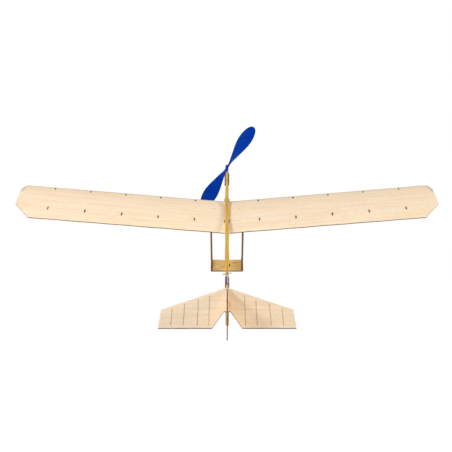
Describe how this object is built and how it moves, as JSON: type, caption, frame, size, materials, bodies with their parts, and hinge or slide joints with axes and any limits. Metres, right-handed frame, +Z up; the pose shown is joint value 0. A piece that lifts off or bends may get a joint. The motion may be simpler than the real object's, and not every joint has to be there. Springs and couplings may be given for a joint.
{
  "type": "rubber band plane",
  "caption": "Stick-fuselage balsa model plane with a cambered dihedral wing, swept tail, blue propeller, rubber motor and a skid landing gear.",
  "frame": {"origin": "on the ground, under the middle of the model's length and span", "axes": "+Y towards the nose, +X towards the right wing tip, +Z up"},
  "size_m": [0.4432, 0.2796, 0.1213],
  "materials": {
    "balsa": "bare sanded balsa sheet with fine grain",
    "scorched_ply": "laser-cut ply with scorched edges",
    "stick_wood": "bare hardwood strip",
    "blue_plastic": "moulded, semi-gloss",
    "amber_rubber": "satin latex strip",
    "steel_wire": "drawn wire",
    "aluminium_tube": "drawn tube",
    "dark_sleeve": "shrunk tube, slight sheen"
  },
  "bodies": {
    "airframe": {"fin": "balsa", "fuselage_stick": "stick_wood", "gear_bridge": "scorched_ply", "gear_leg_left": "scorched_ply", "gear_leg_right": "scorched_ply", "gear_skid": "scorched_ply", "nose_bearing": "aluminium_tube", "nose_block": "scorched_ply", "nose_cheek_left": "scorched_ply", "nose_cheek_right": "scorched_ply", "rear_hook": "steel_wire", "rear_sleeve": "dark_sleeve", "rubber_motor": "amber_rubber", "tailplane": "balsa", "wing_rib_left_1": "scorched_ply", "wing_rib_left_2": "scorched_ply", "wing_rib_left_3": "scorched_ply", "wing_rib_left_4": "scorched_ply", "wing_rib_left_5": "scorched_ply", "wing_rib_right_1": "scorched_ply", "wing_rib_right_2": "scorched_ply", "wing_rib_right_3": "scorched_ply", "wing_rib_right_4": "scorched_ply", "wing_rib_right_5": "scorched_ply", "wing_saddle_left": "scorched_ply", "wing_saddle_right": "scorched_ply", "wing_skin_left": "balsa", "wing_skin_right": "balsa"},
    "propeller": {"propeller": "blue_plastic", "propeller_shaft": "steel_wire", "thrust_washer": "steel_wire"}
  },
  "joints": [
    {"name": "propeller_spin", "type": "hinge", "parent": "airframe", "child": "propeller", "pos_m": [0, 0.13355, 0.066], "axis": [0, 1, 0], "continuous": true, "deforming": ["rubber_motor"]}
  ]
}
